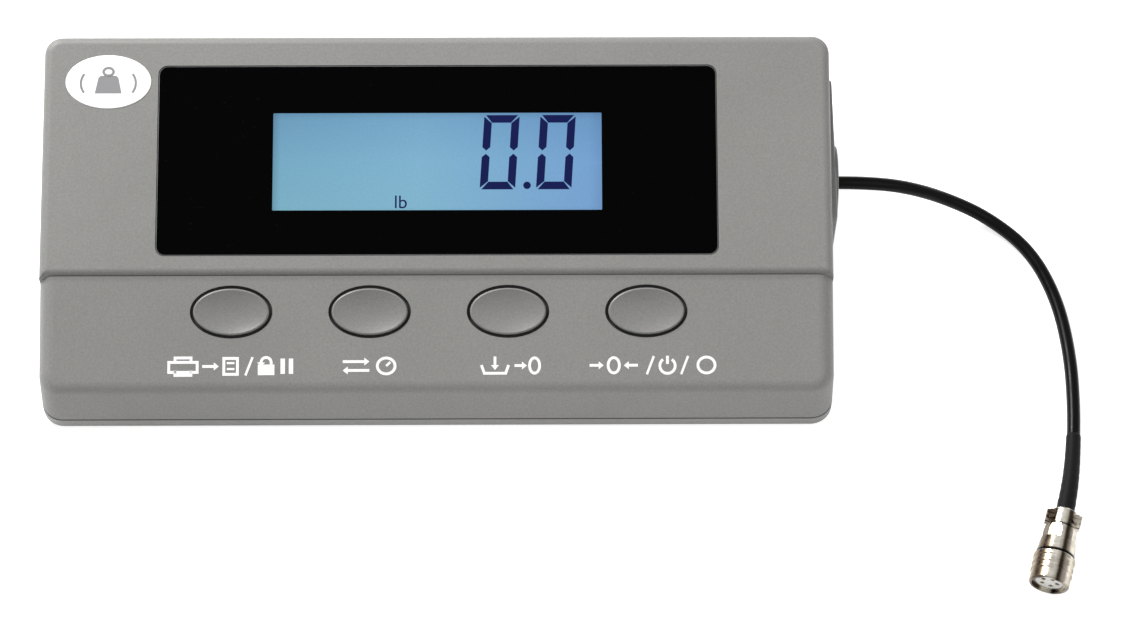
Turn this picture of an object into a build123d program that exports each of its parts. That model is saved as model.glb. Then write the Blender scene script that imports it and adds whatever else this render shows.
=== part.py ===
from build123d import *
import os
from math import cos, radians, sin, tan

os.makedirs("parts", exist_ok=True)

# Bench scale indicator: a wedge-shaped desk housing with a blue LCD, four keys and a cable with a
# screw-locking plug that runs to the weighing platform. Millimetres. +X is the user's right,
# +Y is towards the back, +Z is up. The origin is on the desk, under the middle of the housing.

# ---- driving dimensions -------------------------------------------------------------------------
BODY_W = 270.0
BODY_D = 123.4
FOOT_H = 1.5
SEAM_Z = 7.5
WALL = 2.5
FRONT_TILT = 68.0
FRONT_LEN = 13.9
KEY_TILT = 21.0
KEY_LEN = 38.4
DISPLAY_TILT = 15.0
PAD_STEP = 0.8
FRONT_CORNER_R = 7.5
BACK_CORNER_R = 6.0
KEY_EDGE_R = 5.5
DISPLAY_EDGE_R = 3.0
SEAM_GROOVE = 0.9
FIT = 0.15

LENS_W, LENS_H, LENS_R = 191.2, 66.8, 3.2
LENS_X, LENS_U = 0.2, 40.1
POCKET_DEPTH = 1.6
LCD_W, LCD_H, LCD_U = 111.9, 34.0, 39.5
KEY_W, KEY_H = 25.8, 15.9
KEY_GAP = 1.1
KEY_DISH = 1.5
KEY_PITCH = 46.9
KEY_ROW_X = 0.8
KEY_U = -12.3
KEY_PROUD = 0.8
BADGE_W, BADGE_H = 29.4, 19.0
BADGE_X, BADGE_U = -112.6, 67.9

GLAND_Y, GLAND_Z, GLAND_D = 20.6, 24.0, 25.4
PLATE_Y, PLATE_Z, PLATE_L, PLATE_H = 27.9, 23.0, 55.0, 28.0
PLATE_T, FLANGE_T = 2.0, 1.0
PLATE_SCREW_PITCH = 47.0
JACK_X, JACK_Z = 95.0, 20.0
PORT_X, PORT_Z = -80.0, 22.0
SOCKET_X = 99.0
KEY_BOARD_TOP = -10.0
DISPLAY_BOARD_TOP = -9.6
LABEL_W, LABEL_H, LABEL_Y = 60.0, 30.0, -26.0
SIDE_PROUD = PLATE_T + FLANGE_T
CABLE_D = 4.6
BOOT_D = 5.4
NUT_D = 14.2
PLUG_YAW = 15.4

# ---- derived places -----------------------------------------------------------------------------
HALF_W, HALF_D = BODY_W / 2, BODY_D / 2
FRONT_TOP_Y = -HALF_D + FRONT_LEN * cos(radians(FRONT_TILT))
FRONT_TOP_Z = SEAM_Z + FRONT_LEN * sin(radians(FRONT_TILT))
CREASE_Y = FRONT_TOP_Y + KEY_LEN * cos(radians(KEY_TILT))
CREASE_Z = FRONT_TOP_Z + KEY_LEN * sin(radians(KEY_TILT))
PAD_Z = CREASE_Z + PAD_STEP
BACK_TOP_Z = PAD_Z + (HALF_D - CREASE_Y) * tan(radians(DISPLAY_TILT))
FLOOR_T = 3.0
FLOOR_Z = FOOT_H + FLOOR_T
ORIGIN_SHIFT = Pos(-SIDE_PROUD / 2, 0, 0)


def facet(height, tilt):
    """Plane of a sloping top face: x to the right, y up the slope, z out of the face."""
    normal = (0, -sin(radians(tilt)), cos(radians(tilt)))
    return Plane(origin=(0, CREASE_Y, height), x_dir=(1, 0, 0), z_dir=normal)


KEY_FACE = facet(CREASE_Z, KEY_TILT)
DISPLAY_FACE = facet(PAD_Z, DISPLAY_TILT)
SIDE_FACE = Plane(origin=(HALF_W, 0, 0), x_dir=(0, 1, 0), z_dir=(1, 0, 0))
BACK_FACE = Plane(origin=(0, HALF_D, 0), x_dir=(-1, 0, 0), z_dir=(0, 1, 0))
UNDER = Plane(origin=(0, 0, 0), x_dir=(1, 0, 0), z_dir=(0, 0, -1))
PLATE_SCREWS = [PLATE_Y + s * PLATE_SCREW_PITCH / 2 for s in (-1, 1)]
KEYS = {name: (i - 1.5) * KEY_PITCH + KEY_ROW_X for i, name in enumerate(("print", "unit", "tare", "zero"))}
CASE_SCREWS = [(x, y) for x in (-126.5, 126.5) for y in (-38.0, 49.0)]
FOOT_SPOTS = [(x, y) for x in (-112.0, 112.0) for y in (-46.0, 46.0)]
INSERT_SPOTS = [(x, y) for x in (-75.0, 75.0) for y in (-30.0, 30.0)]
KEY_BOARD_SCREWS = [(KEY_ROW_X + s * KEY_PITCH, u) for s in (-1, 1) for u in (KEY_U - 8.0, KEY_U + 8.0)]
DISPLAY_BOARD_SCREWS = [(LENS_X + x, LCD_U + u) for x in (-67.0, 67.0) for u in (-25.0, 25.0)]
MAIN_BOARD_SCREWS = [(x, y) for x in (-92.0, 92.0) for y in (-34.0, 8.0)]


def save(name, pieces):
    """Write one node; a list becomes a group of separate solids."""
    shape = Compound(children=list(pieces)) if isinstance(pieces, (list, tuple)) else pieces
    export_step(ORIGIN_SHIFT * shape, f"parts/{name}.step")


def slab(plane, x, u, top, bottom, width, height, radius=0.0):
    """Rounded plate parallel to a face, between two heights above it."""
    outline = RectangleRounded(width, height, radius) if radius else Rectangle(width, height)
    return plane * Pos(x, u, bottom) * extrude(outline, top - bottom)


def oval(plane, x, u, top, bottom, width, height):
    """Elliptical plate parallel to a face."""
    return plane * Pos(x, u, bottom) * extrude(Ellipse(width / 2, height / 2), top - bottom)


def post(plane, x, u, top, bottom, diameter):
    """Round post at right angles to a face."""
    return plane * Pos(x, u, (top + bottom) / 2) * Cylinder(diameter / 2, top - bottom)


def box(x0, x1, y0, y1, z0, z1):
    """Box between two corners."""
    return Pos((x0 + x1) / 2, (y0 + y1) / 2, (z0 + z1) / 2) * Box(x1 - x0, y1 - y0, z1 - z0)


def screw(plane, x, u, head_top, head_h, head_d, shank_d, length):
    """Cross-head screw driven down along the plane's normal."""
    head = post(plane, x, u, head_top, head_top - head_h, head_d)
    shank = post(plane, x, u, head_top - head_h, head_top - head_h - length, shank_d)
    slot = plane * Pos(x, u, head_top) * Box(head_d * 0.6, head_d * 0.16, head_h)
    cross = plane * Pos(x, u, head_top) * Box(head_d * 0.16, head_d * 0.6, head_h)
    return head + shank - slot - cross


# ---- housing ------------------------------------------------------------------------------------
def prism(points, inset, front_r, back_r):
    """Side outline across the housing's width, with rounded upright corners."""
    outline = make_face(Polyline(*points, close=True))
    if inset:
        outline = offset(outline, -inset, kind=Kind.INTERSECTION)
    block = extrude(Plane.YZ * outline, HALF_W - inset, both=True)
    for sign, radius in ((-1, front_r), (1, back_r)):
        if radius:
            wall = block.faces().filter_by(lambda f: abs(f.normal_at().X) < 0.1 and f.normal_at().Z < 0.5)
            wall = wall.filter_by(lambda f: f.normal_at().Z > -0.5).sort_by(Axis.Y)[0 if sign < 0 else -1]
            upright = [e for e in wall.edges() if e.bounding_box().size.X < 0.01]
            block = fillet(upright, radius - inset)
    return block


def key_block(inset, bottom):
    """Lower front part, under the key face."""
    run_out = (bottom - SEAM_Z) / tan(radians(FRONT_TILT))
    end_y = CREASE_Y + inset
    end_z = CREASE_Z + inset * tan(radians(KEY_TILT))
    points = [(-HALF_D + run_out, bottom), (FRONT_TOP_Y, FRONT_TOP_Z), (end_y, end_z), (end_y, bottom)]
    return prism(points, inset, FRONT_CORNER_R, 0)


def display_block(inset, bottom):
    """Higher back part, under the display face."""
    start_y = CREASE_Y - inset
    start_z = PAD_Z - inset * tan(radians(DISPLAY_TILT))
    points = [(start_y, bottom), (start_y, start_z), (HALF_D, BACK_TOP_Z), (HALF_D, bottom)]
    return prism(points, inset, 0, BACK_CORNER_R)


def soften(block, radius, sharp_y=None):
    """Round the rim of the sloping top; an edge at sharp_y stays sharp."""
    top = block.faces().filter_by(lambda f: f.normal_at().Z > 0.9).sort_by(SortBy.AREA)[-1]
    rim = [e for e in top.edges() if sharp_y is None or abs(e.center().Y - sharp_y) > 0.5]
    return fillet(rim, radius)


def housing():
    """Outer form and cavity of the top cover."""
    outer = soften(key_block(0, SEAM_Z), KEY_EDGE_R, CREASE_Y)
    outer += soften(display_block(0, SEAM_Z), DISPLAY_EDGE_R)
    low = SEAM_Z - 4 * WALL
    cavity = key_block(WALL, low) + display_block(WALL, low)
    return outer, cavity


def side_opening(depth, width, height, radius):
    """Rounded prism through the right wall, centred on the side plate."""
    face = Plane(origin=(HALF_W, PLATE_Y, PLATE_Z), x_dir=(0, 1, 0), z_dir=(1, 0, 0))
    return face * Pos(0, 0, -depth) * extrude(RectangleRounded(width, height, radius), depth + 1)


def top_cover():
    outer, cavity = housing()
    cover = outer - cavity
    bosses = [box(x - 3.5, x + 3.5, y - 3.5, y + 3.5, 8.1, BACK_TOP_Z) for x, y in CASE_SCREWS]
    bosses += [post(KEY_FACE, x, u, -1, KEY_BOARD_TOP, 5.0) for x, u in KEY_BOARD_SCREWS]
    bosses += [post(DISPLAY_FACE, x, u, -2, DISPLAY_BOARD_TOP, 6.0) for x, u in DISPLAY_BOARD_SCREWS]
    for boss in bosses:
        cover += boss & outer
    pocket = (LENS_W + 2 * FIT, LENS_H + 2 * FIT, LENS_R)
    cover -= slab(DISPLAY_FACE, LENS_X, LENS_U, 2, -POCKET_DEPTH, *pocket)
    cover -= slab(DISPLAY_FACE, LENS_X, LCD_U, 0, -2 * WALL, LCD_W + 6, LCD_H + 6, 1.5)
    cover -= oval(DISPLAY_FACE, BADGE_X, BADGE_U, 2, -0.5, BADGE_W + FIT, BADGE_H + FIT)
    for x in KEYS.values():
        cover -= oval(KEY_FACE, x, KEY_U, 3, -2 * WALL, KEY_W + 2 * KEY_GAP, KEY_H + 2 * KEY_GAP)
    cover -= side_opening(2 * WALL, 36, 18, 3)
    for y in PLATE_SCREWS:
        cover -= post(SIDE_FACE, y, PLATE_Z, 1, -2 * WALL, 2.5 + 0.04)
    cover -= post(BACK_FACE, -JACK_X, JACK_Z, 1, -2 * WALL, 8.0)
    cover -= slab(BACK_FACE, -PORT_X, PORT_Z, 1, -2 * WALL, 33, 15, 1.5)
    for x, y in CASE_SCREWS:
        cover -= post(Plane.XY, x, y, 19.0, 7.0, 3.04)
    for x, u in KEY_BOARD_SCREWS:
        cover -= post(KEY_FACE, x, u, -4.5, -12, 2.04)
    for x, u in DISPLAY_BOARD_SCREWS:
        cover -= post(DISPLAY_FACE, x, u, -4.5, -12, 2.54)
    return cover


# battery bay in the floor, closed by a door that slides out at the back
BAY_X, BAY_Y0, BAY_Y1, BAY_TOP = 54.5, 20.0, 52.5, 20.0
DOOR_X, DOOR_Y0, TONGUE = 57.2, 18.4, 1.6
DOOR_Z0, DOOR_T = 1.6, 1.6


def base_outline(inset=0.0):
    """Plan of the housing's foot, with smaller corners at the back."""
    plan = Rectangle(BODY_W, BODY_D)
    corners = plan.vertices().sort_by(Axis.Y)
    plan = fillet(corners[:2], FRONT_CORNER_R)
    corners = [v for v in plan.vertices() if v.Y > HALF_D - 1]
    plan = fillet(corners, BACK_CORNER_R)
    return offset(plan, -inset) if inset else plan


def base_shell():
    rim_h = SEAM_Z - FOOT_H
    shell = Pos(0, 0, FOOT_H) * extrude(base_outline(), rim_h)
    shell = fillet(shell.faces().sort_by(Axis.Z)[0].edges(), 1.0)
    rim = extrude(base_outline(), SEAM_GROOVE) - extrude(base_outline(SEAM_GROOVE), SEAM_GROOVE)
    shell -= Pos(0, 0, SEAM_Z - SEAM_GROOVE) * rim
    shell -= Pos(0, 0, FLOOR_Z) * extrude(base_outline(WALL), rim_h)
    tongue_h = rim_h - FLOOR_T + 2.0
    tongue = extrude(base_outline(WALL + FIT), tongue_h) - extrude(base_outline(WALL + 1.6), tongue_h)
    front_relief = box(-HALF_W, HALF_W, -HALF_D, -HALF_D + 12.0, SEAM_Z, SEAM_Z + 4)
    shell += Pos(0, 0, FLOOR_Z) * tongue - front_relief
    for x, y in CASE_SCREWS:
        shell += box(x - 4.5, x + 4.4, y - 4.5, y + 4.5, FLOOR_Z, 8.0)
    for x, y in MAIN_BOARD_SCREWS:
        shell += post(Plane.XY, x, y, 10.0, FLOOR_Z, 6.0)
    for x, y in INSERT_SPOTS:
        shell += post(Plane.XY, x, y, 8.5, FLOOR_Z, 10.0)
    shell += box(-BAY_X - 1.5, BAY_X + 1.5, BAY_Y0 - 1.5, BAY_Y1 + 1.5, FLOOR_Z, BAY_TOP + 1.5)
    shell -= box(-BAY_X, BAY_X, BAY_Y0, BAY_Y1, 0, BAY_TOP)
    shell -= box(-DOOR_X - FIT, DOOR_X + FIT, DOOR_Y0 - FIT, HALF_D + 1, 0, DOOR_Z0 + DOOR_T + FIT)
    channel = DOOR_X + TONGUE + FIT
    groove_z = (DOOR_Z0 + DOOR_T / 2 - FIT, DOOR_Z0 + DOOR_T + FIT)
    shell -= box(-channel, channel, DOOR_Y0 - FIT, HALF_D + 1, *groove_z)
    for x, y in FOOT_SPOTS:
        shell -= post(Plane.XY, x, y, FOOT_H + 1.0, 0, 12.2)
    for x, y in CASE_SCREWS:
        shell -= post(Plane.XY, x, y, 9.0, 0, 3.4)
        shell -= post(Plane.XY, x, y, 4.2, 0, 6.0)
    for x, y in MAIN_BOARD_SCREWS:
        shell -= post(Plane.XY, x, y, 11, 5.5, 2.54)
    for x, y in INSERT_SPOTS:
        shell -= post(Plane.XY, x, y, 7.5, 0, 6.0)
    shell -= box(-LABEL_W / 2, LABEL_W / 2, LABEL_Y - LABEL_H / 2, LABEL_Y + LABEL_H / 2, 0, FOOT_H + 0.3)
    return shell


def battery_door():
    door = box(-DOOR_X, DOOR_X, DOOR_Y0, HALF_D - 0.2, DOOR_Z0, DOOR_Z0 + DOOR_T)
    wide = DOOR_X + TONGUE
    door += box(-wide, wide, DOOR_Y0, HALF_D - 0.2, DOOR_Z0 + DOOR_T / 2, DOOR_Z0 + DOOR_T)
    for i in range(4):
        y = 48.0 + 2.4 * i
        door -= box(-12, 12, y, y + 1.2, 0, DOOR_Z0 + 0.4)
    return door


def feet():
    pads = []
    for x, y in FOOT_SPOTS:
        pad = post(Plane.XY, x, y, FOOT_H + 1.0, 0, 12.0)
        pads.append(fillet(pad.faces().sort_by(Axis.Z)[0].edges(), 0.6))
    return pads


# ---- display ------------------------------------------------------------------------------------
GLASS_W, GLASS_H = 122.0, 44.0
GLASS_TOP, GLASS_T = -2.7, 2.2
LIGHT_T = 3.4


def display_lens():
    lens = slab(DISPLAY_FACE, LENS_X, LENS_U, -0.1, -1.4, LENS_W, LENS_H, LENS_R)
    outer_face = lens.faces().filter_by(lambda f: f.normal_at().Z > 0.9).sort_by(Axis.Z)[-1]
    return chamfer(outer_face.edges(), 0.3)


def lens_mask():
    mask = slab(DISPLAY_FACE, LENS_X, LENS_U, -1.4, -POCKET_DEPTH, LENS_W, LENS_H, LENS_R)
    return mask - slab(DISPLAY_FACE, LENS_X, LCD_U, 0, -5, LCD_W, LCD_H)


def badge():
    disc = oval(DISPLAY_FACE, BADGE_X, BADGE_U, 0.3, -0.5, BADGE_W, BADGE_H)
    outer_face = disc.faces().filter_by(lambda f: f.normal_at().Z > 0.9).sort_by(Axis.Z)[-1]
    return fillet(outer_face.edges(), 0.3)


def lcd_frame():
    frame = slab(DISPLAY_FACE, LENS_X, LCD_U, GLASS_TOP, DISPLAY_BOARD_TOP, GLASS_W + 5, GLASS_H + 5, 1.0)
    return frame - slab(DISPLAY_FACE, LENS_X, LCD_U, 0, -20, GLASS_W + 0.2, GLASS_H + 0.2)


def display_board():
    board = slab(DISPLAY_FACE, LENS_X, LCD_U, DISPLAY_BOARD_TOP, DISPLAY_BOARD_TOP - 1.6, 144, 58, 1.0)
    for x, u in DISPLAY_BOARD_SCREWS:
        board -= post(DISPLAY_FACE, x, u, 0, -20, 3.0)
    return board


def board_screw(face, x, u, top, shank_d):
    """Screw driven up into a boss under a sloping face."""
    seat = top - 1.6
    head = post(face, x, u, seat, seat - 1.4, 2.0 * shank_d)
    shank = post(face, x, u, -5.0, seat, shank_d)
    slot = face * Pos(x, u, seat - 1.4) * Box(1.3 * shank_d, 0.5, 1.0)
    cross = face * Pos(x, u, seat - 1.4) * Box(0.5, 1.3 * shank_d, 1.0)
    return head + shank - slot - cross


# ---- keys ---------------------------------------------------------------------------------------
PLUNGER_TOP, PLUNGER_END = -5.0, -7.6
SWITCH_TOP = -6.4
KEY_TRAVEL = 1.0


def key_cap(x):
    """Dished oval cap with a retaining flange and a stem onto the switch."""
    cap = oval(KEY_FACE, x, KEY_U, KEY_PROUD, -2.6, KEY_W, KEY_H)
    rim = cap.faces().filter_by(lambda f: f.normal_at().Z > 0.9).sort_by(Axis.Z)[-1].edges()
    cap = fillet(rim, 0.7)
    cap -= KEY_FACE * Pos(x, KEY_U, KEY_PROUD) * dish_tool()
    cap += oval(KEY_FACE, x, KEY_U, -2.6, -3.8, KEY_W + 4, KEY_H + 3.6)
    return cap + post(KEY_FACE, x, KEY_U, -3.8, PLUNGER_TOP, 6.0)


def dish_tool():
    """Egg-shaped cutter whose dish meets the rim of the oval all the way round."""
    half_long, half_short = KEY_W / 2 - 0.35, KEY_H / 2 - 0.35
    across = half_short ** 2 / (2 * KEY_DISH)
    along_x = (across * half_long ** 2 / (2 * KEY_DISH)) ** 0.5
    upper_half = Ellipse(along_x, across) & Pos(0, across) * Rectangle(3 * along_x, 2 * across)
    return Pos(0, 0, across - KEY_DISH) * revolve(upper_half, Axis.X)


def key_seal(x):
    """Black dust seal in the gap round a key."""
    outer, clearance = KEY_GAP - 0.02, 0.12
    ring = Ellipse(KEY_W / 2 + outer, KEY_H / 2 + outer)
    ring -= Ellipse(KEY_W / 2 + clearance, KEY_H / 2 + clearance)
    return KEY_FACE * Pos(x, KEY_U, -2.4) * extrude(ring, 1.0)


def switch_body(x):
    body = slab(KEY_FACE, x, KEY_U, SWITCH_TOP, KEY_BOARD_TOP, 7, 7)
    return body - post(KEY_FACE, x, KEY_U, 0, KEY_BOARD_TOP + 0.4, 3.8)


def key_board():
    board = slab(KEY_FACE, KEY_ROW_X, KEY_U, KEY_BOARD_TOP, KEY_BOARD_TOP - 1.6, 176, 22, 1.0)
    for x, u in KEY_BOARD_SCREWS:
        board -= post(KEY_FACE, x, u, 0, -20, 2.4)
    return board


# ---- electronics and batteries ------------------------------------------------------------------
BOARD_Z, BOARD_T = 10.0, 1.6
BOARD_Y0, BOARD_Y1, BOARD_X = -38.0, 13.0, 100.0
BOARD_TOP = BOARD_Z + BOARD_T


def main_board():
    board = box(-BOARD_X, BOARD_X, BOARD_Y0, BOARD_Y1, BOARD_Z, BOARD_TOP)
    for x, y in MAIN_BOARD_SCREWS:
        board -= post(Plane.XY, x, y, 20, 0, 3.0)
    return board


def board_chips():
    spots = [(-60, -12, 14, 14), (-25, -8, 10, 7), (30, -14, 18, 12), (62, -8, 8, 8), (8, 4, 7, 5)]
    tall = (BOARD_TOP, BOARD_TOP + 1.5)
    return [box(x - w / 2, x + w / 2, y - h / 2, y + h / 2, *tall) for x, y, w, h in spots]


def board_capacitors():
    spots = [(-84, -6, 8, 10), (-44, 6, 6.3, 8), (48, 6, 6.3, 8), (78, -18, 5, 6)]
    return [post(Plane.XY, x, y, BOARD_TOP + h, BOARD_TOP, d) for x, y, d, h in spots]


BUZZER_X = -16.0            # clear of the ribbon cable


def buzzer():
    can = post(Plane.XY, BUZZER_X, -20, BOARD_TOP + 3.6, BOARD_TOP, 9)
    return can - post(Plane.XY, BUZZER_X, -20, BOARD_TOP + 4, BOARD_TOP + 3, 1.6)


def ribbon_cable():
    """Flat lead that drops from the key board to the main board."""
    top_y, top_z = CREASE_Y + 3.2, CREASE_Z - 12.4
    strip = Polyline((top_y, top_z), (top_y + 2.5, top_z - 3), (top_y + 2.0, BOARD_TOP + 0.2))
    wall = trace(strip, 0.4)
    return extrude(Plane.YZ * wall, 9, both=True)


CELL_D, CELL_L = 14.2, 49.2
CELL_Z = 11.4
CELLS = [(sx * 25.4, y) for sx in (-1, 1) for y in (28.2, 44.2)]


def lying(x, y, z, length, diameter):
    """Cylinder along X."""
    return Pos(x, y, z) * Rot(0, 90, 0) * Cylinder(diameter / 2, length)


def battery_cells():
    cells = []
    for x, y in CELLS:
        can = lying(x, y, CELL_Z, CELL_L, CELL_D)
        cells.append(fillet(can.edges(), 0.8) + lying(x + CELL_L / 2 + 0.5, y, CELL_Z, 1.0, 5.2))
    return cells


def battery_contacts():
    """End plates; the right one has a raised leaf for each cell."""
    plates = []
    for side in (-1, 1):
        x = side * (BAY_X - 0.25)
        plates.append(box(x - 0.2, x + 0.2, 22, 50.5, 6, 17))
    for x, y in CELLS[2:]:
        nub_end = x + CELL_L / 2 + 1.0
        plates[1] += box(nub_end + 0.05, BAY_X - 0.25, y - 3, y + 3, CELL_Z - 3, CELL_Z + 3)
    return plates


def battery_springs():
    """Cone springs at the left end of the bay."""
    springs = []
    for y in (28.2, 44.2):
        for i in range(4):
            springs.append(Pos(-53.4 + 0.84 * i, y, CELL_Z) * Rot(0, 90, 0) * Torus(4.6 - 0.7 * i, 0.4))
    return springs


def bracket_inserts():
    sleeves = []
    for x, y in INSERT_SPOTS:
        sleeves.append(post(Plane.XY, x, y, 7.5, FOOT_H, 6.0) - post(Plane.XY, x, y, 9, 0, 3.3))
    return sleeves


# ---- sockets in the back wall -------------------------------------------------------------------
def dc_jack():
    body = box(JACK_X - 5, JACK_X + 5, HALF_D - WALL - 12, HALF_D - WALL - 0.05, JACK_Z - 5.5, JACK_Z + 5.5)
    collar = BACK_FACE * Pos(-JACK_X, JACK_Z, -WALL / 2 - 0.3) * Cylinder(3.9, WALL)
    return body + collar - post(BACK_FACE, -JACK_X, JACK_Z, 1, -12.0, 5.7)


def dc_jack_pin():
    return post(BACK_FACE, -JACK_X, JACK_Z, -1.2, -12.0, 2.1)


PORT_SEAT = -5.6


def serial_port():
    """Nine-way shell on a flange, set back in its opening."""
    flange = slab(BACK_FACE, -PORT_X, PORT_Z, PORT_SEAT, PORT_SEAT - 0.8, 30.8, 12.5, 1.0)
    shell = slab(BACK_FACE, -PORT_X, PORT_Z, -0.3, PORT_SEAT, 16.9, 8.4, 2.2)
    shell -= slab(BACK_FACE, -PORT_X, PORT_Z, 1, PORT_SEAT, 16.1, 7.6, 1.8)
    rear = slab(BACK_FACE, -PORT_X, PORT_Z, PORT_SEAT - 0.8, PORT_SEAT - 8, 19, 11, 0.5)
    return flange + shell + rear


def serial_pins():
    rows = [(-5.54 + 2.77 * i, 1.42) for i in range(5)] + [(-4.155 + 2.77 * i, -1.42) for i in range(4)]
    return [post(BACK_FACE, -PORT_X + dx, PORT_Z + dz, -1.2, PORT_SEAT, 1.0) for dx, dz in rows]


def serial_posts():
    posts = []
    for dx in (-12.5, 12.5):
        hexagon = extrude(RegularPolygon(2.5, 6), 4.6)
        nut = BACK_FACE * Pos(-PORT_X + dx, PORT_Z, PORT_SEAT) * hexagon
        posts.append(nut - post(BACK_FACE, -PORT_X + dx, PORT_Z, 1, PORT_SEAT + 1, 2.6))
    return posts


# ---- side plate and gland -----------------------------------------------------------------------
def side_cover():
    plate = slab(SIDE_FACE, PLATE_Y, PLATE_Z, PLATE_T, 0, PLATE_L, PLATE_H, 3.0)
    outer_face = plate.faces().sort_by(Axis.X)[-1]
    plate = fillet(outer_face.edges(), 0.6)
    plate += slab(SIDE_FACE, PLATE_Y, PLATE_Z, 0, -1.5, 35.6, 17.6, 2.8)
    plate -= post(SIDE_FACE, GLAND_Y, GLAND_Z, 3, -5, 12.0)
    for y in PLATE_SCREWS:
        plate -= post(SIDE_FACE, y, PLATE_Z, 3, -5, 2.9)
        plate -= post(SIDE_FACE, y, PLATE_Z, 3, PLATE_T - 1.2, 5.0)
    return plate


def side_cover_screws():
    return [screw(SIDE_FACE, y, PLATE_Z, PLATE_T - 0.1, 1.1, 4.8, 2.5, 4.8) for y in PLATE_SCREWS]


def gland_flange():
    """Round collar clamped through the side plate; the cable leaves through its middle."""
    flange = post(SIDE_FACE, GLAND_Y, GLAND_Z, SIDE_PROUD, PLATE_T, GLAND_D)
    flange = fillet(flange.faces().sort_by(Axis.X)[-1].edges(), 0.4)
    flange += post(SIDE_FACE, GLAND_Y, GLAND_Z, PLATE_T, -6.0, 11.9)
    return flange - post(SIDE_FACE, GLAND_Y, GLAND_Z, SIDE_PROUD + 1, -7, CABLE_D + 0.3)


def gland_nut():
    nut = SIDE_FACE * Pos(GLAND_Y, GLAND_Z, -5.2) * extrude(RegularPolygon(8.5, 6), 3.2)
    return nut - post(SIDE_FACE, GLAND_Y, GLAND_Z, 0, -8, 11.94)


def inner_lead():
    """Jacketed lead from the gland to the board's connector."""
    start = (HALF_W + SIDE_PROUD, GLAND_Y, GLAND_Z)
    end = (SOCKET_X, -5.5, BOARD_TOP + 2.6)
    path = FilletPolyline(start, (120, *start[1:]), (113, *end[1:]), end, radius=[8, 8])
    return along(path, Circle(CABLE_D / 2))


def lead_socket():
    return box(SOCKET_X - 9, SOCKET_X, -10, -1, BOARD_TOP, BOARD_TOP + 5.4)


# ---- cable and plug -----------------------------------------------------------------------------
PLUG_START = (211.6, -97.2, NUT_D / 2 + 0.05)
PLUG_DIR = (-sin(radians(PLUG_YAW)), -cos(radians(PLUG_YAW)), 0)
PLUG_SIDE = (cos(radians(PLUG_YAW)), -sin(radians(PLUG_YAW)), 0)
PLUG_AXIS = Plane(origin=PLUG_START, x_dir=PLUG_SIDE, z_dir=PLUG_DIR)
LAST_RUN = 8.0
CABLE_ROUTE = [
    (HALF_W + SIDE_PROUD, GLAND_Y, GLAND_Z),
    (147.5, GLAND_Y, GLAND_Z),
    (162.5, 21.3, 20.0),
    (178.0, 22.0, 10.0),
    (193.2, 17.8, 3.5),
    (207.2, 5.4, 2.40),
    (215.3, -13.6, 2.33),
    (218.4, -35.4, 2.36),
    (218.2, -56.4, 2.95),
    (216.4, -74.4, 4.4),
    tuple(a - LAST_RUN * b for a, b in zip(PLUG_START, PLUG_DIR)),
    PLUG_START,
]


def route_radii(points):
    """Arc radius at each corner: as large as its two runs allow."""
    radii = []
    for a, b, c in zip(points, points[1:], points[2:]):
        into, out = Vector(*b) - Vector(*a), Vector(*c) - Vector(*b)
        turn = into.get_angle(out)
        radii.append(0.45 * min(into.length, out.length) / tan(radians(turn) / 2))
    return radii


CABLE_RADII = route_radii(CABLE_ROUTE)
CABLE_PATH = FilletPolyline(*CABLE_ROUTE, radius=CABLE_RADII)


def along(path, section):
    return sweep(Plane(path @ 0, z_dir=path % 0) * section, path=path)


def cable():
    return along(CABLE_PATH, Circle(CABLE_D / 2))


def cable_boot():
    """Shrink sleeve over the last stretch, from the second last bend to the plug."""
    spans = CABLE_PATH.edges().sort_by(CABLE_PATH)[-5:]
    path = Wire(spans)
    return along(path, Circle(BOOT_D / 2) - Circle(CABLE_D / 2))


def turned(profile):
    """Body of revolution about the plug's axis, from (distance, diameter) pairs."""
    points = [(0, profile[0][0])] + [(d / 2, s) for s, d in profile] + [(0, profile[-1][0])]
    return PLUG_AXIS * revolve(Plane.XZ * make_face(Polyline(*points, close=True)), Axis.Z)


CLAMP_L, SHELL_START, SHELL_END = 6.0, 6.5, 16.6
NUT_START, NUT_END = 17.1, 27.6
EAR_X, EAR_TURN = 4.3, -90


def ear_seat(side):
    """Upright axis of a clamp screw; its local z points up."""
    return PLUG_AXIS * Pos(side * EAR_X, 0, CLAMP_L / 2) * Rot(EAR_TURN, 0, 0)


def plug_clamp():
    """Two straps round the cable's end, drawn together by two screws."""
    body = turned([(0, 8.0), (0.5, 8.8), (CLAMP_L, 8.8)])
    for side in (-1, 1):
        body += PLUG_AXIS * Pos(0, side * 1.5, CLAMP_L / 2) * Box(11.9, 2.2, 3.4)
    body -= PLUG_AXIS * Pos(0, 0, CLAMP_L / 2) * Cylinder(1.8, 2 * CLAMP_L)
    for side in (-1, 1):
        seat = ear_seat(side)
        body -= seat * Cylinder(0.82, 12) + seat * Pos(0, 0, 4.6) * Cylinder(1.7, 4)
    return body


def plug_clamp_screws():
    """Slotted screws with their heads upwards."""
    screws = []
    for side in (-1, 1):
        seat = ear_seat(side)
        body = seat * Pos(0, 0, 0.1) * Cylinder(0.8, 5.4) + seat * Pos(0, 0, 3.2) * Cylinder(1.5, 1.1)
        screws.append(body - seat * Pos(0, 0, 3.7) * Box(3.2, 0.45, 0.7))
    return screws


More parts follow.
